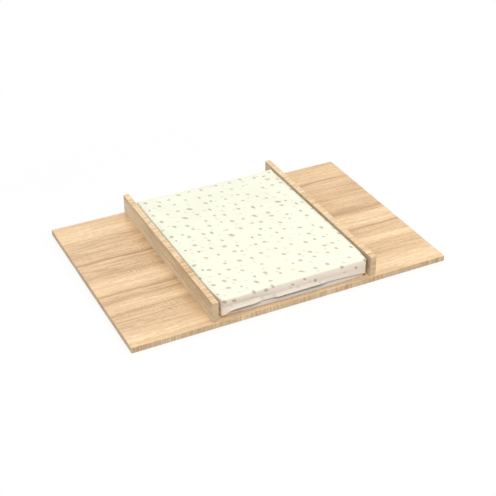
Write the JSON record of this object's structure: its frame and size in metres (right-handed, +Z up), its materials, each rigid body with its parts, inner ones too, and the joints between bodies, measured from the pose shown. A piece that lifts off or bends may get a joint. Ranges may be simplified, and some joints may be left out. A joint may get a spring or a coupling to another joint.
{
  "type": "changing top",
  "caption": "Flat changing top for a chest: a wide oak-effect board with two upright cheeks and a padded, slip-covered changing mat lying loose between them.",
  "frame": {"origin": "centre of the base board's underside", "axes": "+X to the right along the board's length, +Y to the back, +Z up"},
  "size_m": [1.08, 0.72, 0.089],
  "materials": {
    "oak_laminate": "satin",
    "oak_edge_band": "satin",
    "dowel_beech": "matte",
    "zinc_screw": "satin",
    "mat_print": "matte",
    "mat_plain": "matte",
    "elastic": "matte",
    "foam": "matte"
  },
  "bodies": {
    "frame": {"base_board": "oak_laminate", "base_front_edge_band": "oak_edge_band", "base_back_edge_band": "oak_edge_band", "base_left_edge_band": "oak_edge_band", "base_right_edge_band": "oak_edge_band", "left_cheek_board": "oak_laminate", "left_cheek_top_edge_band": "oak_edge_band", "left_cheek_front_edge_band": "oak_edge_band", "left_cheek_back_edge_band": "oak_edge_band", "left_cheek_screws": "zinc_screw", "left_cheek_dowels": "dowel_beech", "right_cheek_board": "oak_laminate", "right_cheek_top_edge_band": "oak_edge_band", "right_cheek_front_edge_band": "oak_edge_band", "right_cheek_back_edge_band": "oak_edge_band", "right_cheek_screws": "zinc_screw", "right_cheek_dowels": "dowel_beech"},
    "mat": {"mat_cover": "mat_print", "mat_hem_elastic": "elastic", "mat_base_panel": "mat_plain", "mat_foam_core": "foam"}
  },
  "joints": [
    {"name": "mat_lift", "type": "slide", "parent": "frame", "child": "mat", "axis": [0, 0, 1], "range_m": [0, 0.15]}
  ]
}
